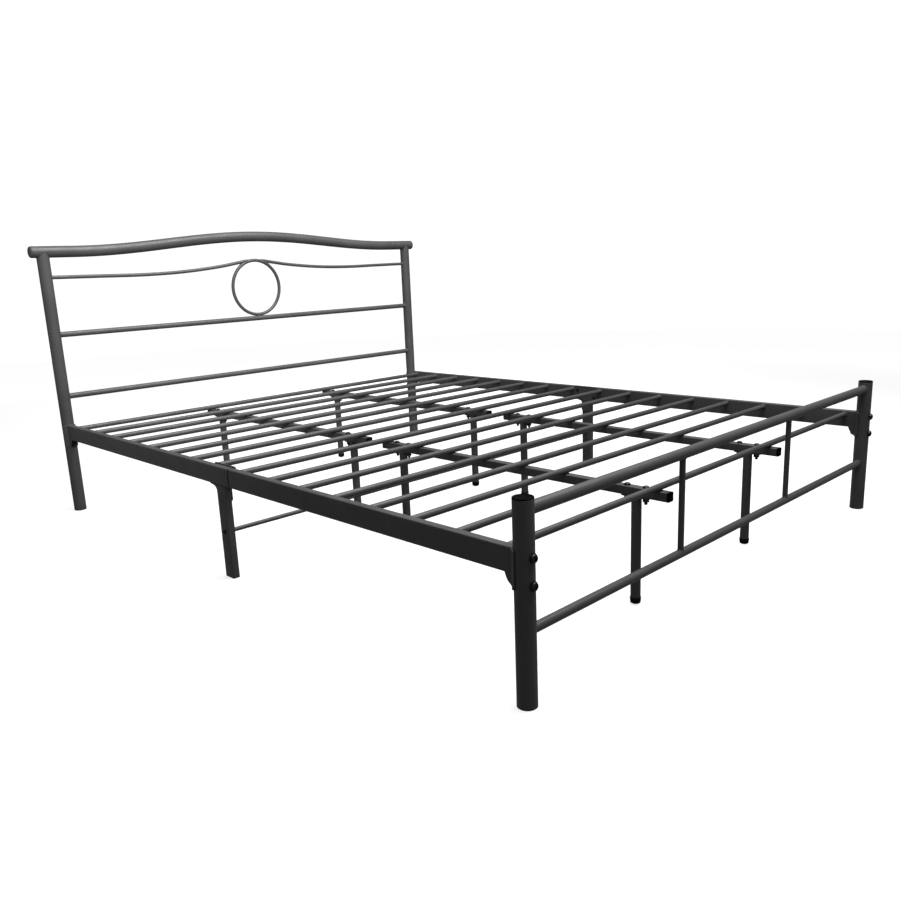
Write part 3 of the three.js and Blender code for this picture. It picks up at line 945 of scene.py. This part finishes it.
def build_supports():
    seed = 300
    for side in SIDES:
        for end in ENDS:
            node = f"support_rail_{side}_{end}"
            low, high, mid = span(node)
            half = (high.x - low.x) / 2
            outer = rounded_rect(half, half, 2.2 * MM)
            inner = rounded_rect(half - TUBE_WALL, half - TUBE_WALL, 1 * MM)
            piece = Piece(COAT, BORE)
            straight_tube(piece, "Y", (mid.x, mid.z), low.y + PLUG_FLANGE, high.y - PLUG_FLANGE,
                          outer, inner)
            piece.finish(f"{node}_tube", replaces=[node])
            square_plug(f"{node}_plug_a", low.y, mid.x, mid.z, -1, half)
            square_plug(f"{node}_plug_b", high.y, mid.x, mid.z, 1, half)
            for place in ("inner", "outer"):
                build_support_leg(f"{side}_{end}_{place}", high.z, seed)
                seed += 1


# ---------------------------------------------------------------- legs at mid-length
def quarter(u, v, radius, start):
    """Seven points of a quarter circle about (u, v), from the angle start in degrees."""
    angles = (math.radians(start + 15 * i) for i in range(7))
    return [(u + radius * math.cos(a), v + radius * math.sin(a)) for a in angles]


def splice_outline(low, shelf, high):
    """A T: a wide head over the seam, from shelf up to high, and a stem down the leg to low."""
    corner, half = 5 * MM, MID_LEG_HALF
    wide = SPLICE_HALF - corner
    return [
        *quarter(wide, high - corner, corner, 0),
        *quarter(-wide, high - corner, corner, 90),
        *quarter(-wide, shelf + corner, corner, 180),
        (-half, shelf), (-half, low + corner), (-half + corner, low),
        (half - corner, low), (half, low + corner), (half, shelf),
        *quarter(wide, shelf + corner, corner, 270),
    ]


def corner_web(top):
    """The filled corner under the rail, on the headboard's side of the leg."""
    half, root, reach, depth = MID_LEG_HALF, 1 * MM, 32 * MM, 13 * MM
    web = [(half - root, top), (half + reach, top)]
    web += bend((half + reach, top - 1.2 * MM), (half + 4 * MM, top - 1.6 * MM),
                (half, top - depth), 14)
    web.append((half - root, top - depth))
    return web


def build_mid_leg(side, sign, bar_z):
    """A leg, its web and its splice plate, with the plate's screws and the crossbar's bolt."""
    node = f"mid_leg_{side}"
    low, high, _ = span(node)
    x = posts["foot", side].x
    inside = -sign
    top, stem_low = high.z - SPLICE_DROP, low.z + SPLICE_LOW
    outer = rounded_rect(RAIL_HALF_W, MID_LEG_HALF, RAIL_ROUND)
    inner = rounded_rect(RAIL_HALF_W - TUBE_WALL, MID_LEG_HALF - TUBE_WALL, BORE_ROUND)
    piece = Piece(COAT, BORE)
    straight_tube(piece, "Z", (x, 0), GLIDE, top, outer, inner)
    plate(piece, "X", x - RAIL_HALF_W, x + RAIL_HALF_W, corner_web(top))
    back = x + inside * (RAIL_HALF_W + TOUCH)
    front = x + inside * (RAIL_HALF_W + TOUCH + PLATE_THICK)
    plate(piece, "X", min(back, front), max(back, front), splice_outline(stem_low, top, high.z))
    for edge in (-1, 1):
        bead_x, bead_y = x + inside * (RAIL_HALF_W + 0.6 * MM), edge * (MID_LEG_HALF - 0.5 * MM)
        path = [(bead_x, bead_y, stem_low + (4 + 3 * i) * MM) for i in range(12)]
        run_bead(piece, path, 1.6 * MM, 400 + edge + sign)
    piece.finish(f"{node}_tube", replaces=[node])
    glide(f"{node}_glide", (x, 0), outer, inner)
    for i, (y, z) in enumerate(SPLICE_SCREWS):
        piece = Piece(ZINC)
        button_head(piece, facing(front, y, z, (inside, 0, 0)), 4.6 * MM, 4.0 * MM)
        piece.finish(f"splice_screw_{side}_{i + 1}", sharp=30)
    piece = Piece(ZINC)
    head = x + sign * RAIL_HALF_W
    button_head(piece, facing(head, 0, bar_z, (sign, 0, 0)), 5.0 * MM, 3.8 * MM)
    threaded(piece, facing(head + sign * 0.4 * MM, 0, bar_z, (inside, 0, 0)), 3 * MM, 0, 34 * MM,
             pitch=1.0 * MM)
    piece.finish(f"crossbar_bolt_{side}", sharp=30)


def build_mid_legs():
    bar_low, bar_high, bar = span("mid_leg_crossbar")
    for side, sign in SIDES.items():
        build_mid_leg(side, sign, bar.z)
    radius = (bar_high.z - bar_low.z) / 2
    piece = Piece(COAT, BORE)
    straight_tube(piece, "X", (bar.y, bar.z), bar_low.x, bar_high.x, circle(radius, 28),
                  circle(radius - BAR_WALL, 28))
    piece.finish("mid_leg_crossbar_tube", replaces=["mid_leg_crossbar"])


build_headboard()
build_footboard()
build_side_rails()
build_post_bolts()
build_slats()
build_supports()
build_mid_legs()


# ---------------------------------------------------------------- floor and light
def studio_white():
    """The pale stage: mostly a glow of its own, painted light which rises with the distance from the
    bed to make up for the lamps' light falling off there, and on it the shadows of the lamps."""
    stage = Shader("studio_white", Metallic=0.0, Roughness=0.8, Specular_IOR_Level=0.1,
                   Emission_Color=(1.0, 1.0, 1.0, 1))
    cloud = stage.spread(stage.noise(0.9, detail=3), 0.3, 0.7, 0.0, 1.0)
    stage.set("Base Color", stage.blend(cloud, (0.24, 0.24, 0.24), (0.26, 0.26, 0.26)))
    away = stage.node("ShaderNodeVectorMath", operation="LENGTH")
    stage.link(stage.place, away.inputs[0])
    # painted light: the glow rises from 0.73 by the bed to 0.97 far off, where the lamps' light
    # falls off
    stage.set("Emission Strength", stage.spread(away.outputs["Value"], 1.4, 4.4, 0.73, 0.97))
    return stage.material


STAGE_PROFILE = (  # (radius, height): a flat floor that curves up into the backdrop
    (0.0, 0.0), (7.0, 0.0), (8.6, 0.12), (9.8, 0.55), (10.8, 1.4), (11.5, 2.8), (12.0, 5.0),
    (12.0, 9.0),
)
FLOOR_DROP = 0.2 * MM
sheet = Piece(studio_white())
turned(sheet, STAGE_PROFILE, Matrix.Translation((0, 0, -FLOOR_DROP)), count=96)
stage_mesh = bpy.data.meshes.new("stage")
stage_mesh.from_pydata(sheet.points, [], sheet.faces)
stage_mesh.materials.append(sheet.materials[0])
stage_mesh.shade_smooth()
floor = bpy.data.objects.new("stage", stage_mesh)
bpy.context.scene.collection.objects.link(floor)
# the bed is lit by the lamps and the world alone, so its sides and undersides stay dark
floor.visible_diffuse = False
floor.visible_glossy = False

world = bpy.data.worlds.new("studio")
world.use_nodes = True
sky = world.node_tree.nodes["Background"]
sky.inputs["Color"].default_value = (0.97, 0.98, 1.0, 1)
sky.inputs["Strength"].default_value = 0.22
bpy.context.scene.world = world


def lamp(kind, name, at, target, power, shines=True, **settings):
    """A light at one point, turned to another. shines is whether it shows as a highlight."""
    data = bpy.data.lights.new(name, kind)
    data.energy = power
    for key, value in settings.items():
        setattr(data, key, value)
    made = bpy.data.objects.new(name, data)
    made.location = at
    way = Vector(target) - Vector(at)
    made.rotation_euler = way.to_track_quat("-Z", "Y").to_euler()
    made.visible_glossy = shines
    bpy.context.scene.collection.objects.link(made)


lamp("AREA", "key", (0.2, -0.9, 3.4), (0.0, 0.2, 0.3), 300, shape="DISK", size=3.0)
lamp("SPOT", "head_light", (-2.0, -2.2, 2.3), (-0.1, 1.03, 0.78), 1200, shines=False,
     spot_size=math.radians(34), spot_blend=0.9, shadow_soft_size=0.35)
lamp("AREA", "back_fill", (2.6, 3.2, 2.0), (0.0, 0.2, 0.35), 150, shines=False,
     shape="DISK", size=2.0)

bpy.context.scene.view_settings.view_transform = "Standard"

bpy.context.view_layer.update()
